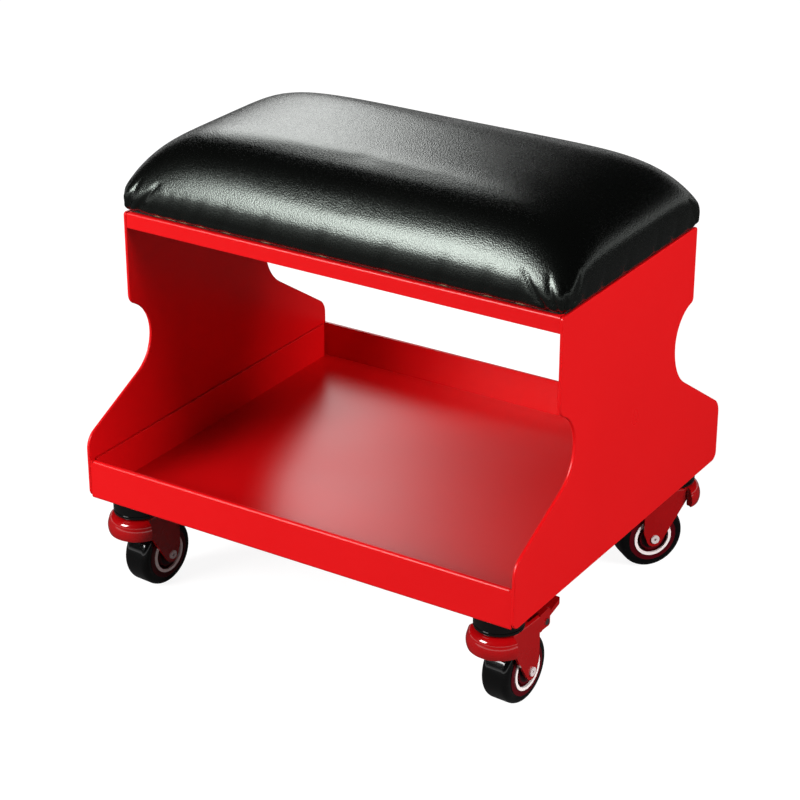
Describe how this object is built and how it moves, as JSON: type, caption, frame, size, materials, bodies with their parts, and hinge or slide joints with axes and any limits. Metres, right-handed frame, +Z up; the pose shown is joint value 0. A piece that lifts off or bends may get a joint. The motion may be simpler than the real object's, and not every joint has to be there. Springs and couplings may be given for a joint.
{
  "type": "detailing stool",
  "caption": "Low rolling work stool: hourglass sheet-steel side plates, a crowned padded seat on a folded pan, an open tool tray between the feet and swivel casters below.",
  "frame": {"origin": "on the floor, under the middle of the stool", "axes": "+Z up; -Y is the front, where the tool tray's hemmed lip is; +X is the right side as seen from the front"},
  "size_m": [0.448, 0.3786, 0.4298],
  "materials": {
    "red_powder": "gloss powder coat",
    "plywood": "raw",
    "foam": "open-cell foam",
    "black_vinyl": "glossy fine-grained vinyl",
    "zinc": "zinc-plated",
    "black_plastic": "satin",
    "maroon_plastic": "gloss",
    "white_plastic": "gloss",
    "black_tyre": "gloss polyurethane"
  },
  "bodies": {
    "frame": {"side_plate_left": "red_powder", "side_plate_right": "red_powder", "seat_pan": "red_powder", "tool_tray": "red_powder", "seat_board": "plywood", "seat_foam": "foam", "seat_cover": "black_vinyl", "cover_staples": "zinc", "tee_nuts": "zinc", "seat_bolts": "zinc", "seat_washers": "zinc", "caster_bosses": "red_powder", "caster_lock_nuts": "zinc", "caster_stems": "zinc", "caster_covers": "black_plastic", "caster_lower_races": "zinc"},
    "caster_front_left": {"fork_front_left": "red_powder", "upper_balls_front_left": "zinc", "lower_balls_front_left": "zinc", "axle_rivet_front_left": "zinc", "axle_sleeve_front_left": "zinc", "brake_pin_front_left": "zinc"},
    "wheel_front_left": {"wheel_core_front_left": "maroon_plastic", "hub_rings_front_left": "white_plastic", "wheel_bearings_front_left": "zinc", "tyre_front_left": "black_tyre"},
    "pedal_front_left": {"brake_pedal_front_left": "red_powder"},
    "caster_front_right": {"fork_front_right": "red_powder", "upper_balls_front_right": "zinc", "lower_balls_front_right": "zinc", "axle_rivet_front_right": "zinc", "axle_sleeve_front_right": "zinc", "brake_pin_front_right": "zinc"},
    "wheel_front_right": {"wheel_core_front_right": "maroon_plastic", "hub_rings_front_right": "white_plastic", "wheel_bearings_front_right": "zinc", "tyre_front_right": "black_tyre"},
    "pedal_front_right": {"brake_pedal_front_right": "red_powder"},
    "caster_rear_left": {"fork_rear_left": "red_powder", "upper_balls_rear_left": "zinc", "lower_balls_rear_left": "zinc", "axle_rivet_rear_left": "zinc", "axle_sleeve_rear_left": "zinc"},
    "wheel_rear_left": {"wheel_core_rear_left": "maroon_plastic", "hub_rings_rear_left": "white_plastic", "wheel_bearings_rear_left": "zinc", "tyre_rear_left": "black_tyre"},
    "caster_rear_right": {"fork_rear_right": "red_powder", "upper_balls_rear_right": "zinc", "lower_balls_rear_right": "zinc", "axle_rivet_rear_right": "zinc", "axle_sleeve_rear_right": "zinc"},
    "wheel_rear_right": {"wheel_core_rear_right": "maroon_plastic", "hub_rings_rear_right": "white_plastic", "wheel_bearings_rear_right": "zinc", "tyre_rear_right": "black_tyre"}
  },
  "joints": [
    {"name": "swivel_front_left", "type": "hinge", "parent": "frame", "child": "caster_front_left", "pos_m": [-0.1915, -0.15925, 0.085], "axis": [0, 0, 1], "continuous": true},
    {"name": "spin_front_left", "type": "hinge", "parent": "caster_front_left", "child": "wheel_front_left", "pos_m": [-0.18979, -0.13601, 0.03175], "axis": [0.9973, -0.0732, 0], "continuous": true},
    {"name": "brake_front_left", "type": "hinge", "parent": "caster_front_left", "child": "pedal_front_left", "pos_m": [-0.18824, -0.11487, 0.0705], "axis": [-0.9973, 0.0732, 0], "range_deg": [0, 25]},
    {"name": "swivel_front_right", "type": "hinge", "parent": "frame", "child": "caster_front_right", "pos_m": [0.1915, -0.15925, 0.085], "axis": [0, 0, 1], "continuous": true},
    {"name": "spin_front_right", "type": "hinge", "parent": "caster_front_right", "child": "wheel_front_right", "pos_m": [0.19292, -0.13599, 0.03175], "axis": [0.9981, -0.061, 0], "continuous": true},
    {"name": "brake_front_right", "type": "hinge", "parent": "caster_front_right", "child": "pedal_front_right", "pos_m": [0.19422, -0.11483, 0.0705], "axis": [-0.9981, 0.061, 0], "range_deg": [0, 25]},
    {"name": "swivel_rear_left", "type": "hinge", "parent": "frame", "child": "caster_rear_left", "pos_m": [-0.1915, 0.15925, 0.085], "axis": [0, 0, 1], "continuous": true},
    {"name": "spin_rear_left", "type": "hinge", "parent": "caster_rear_left", "child": "wheel_rear_left", "pos_m": [-0.19634, 0.13646, 0.03175], "axis": [-0.9781, 0.2079, 0], "continuous": true},
    {"name": "swivel_rear_right", "type": "hinge", "parent": "frame", "child": "caster_rear_right", "pos_m": [0.1915, 0.15925, 0.085], "axis": [0, 0, 1], "continuous": true},
    {"name": "spin_rear_right", "type": "hinge", "parent": "caster_rear_right", "child": "wheel_rear_right", "pos_m": [0.17741, 0.14069, 0.03175], "axis": [-0.7965, 0.6046, 0], "continuous": true}
  ]
}
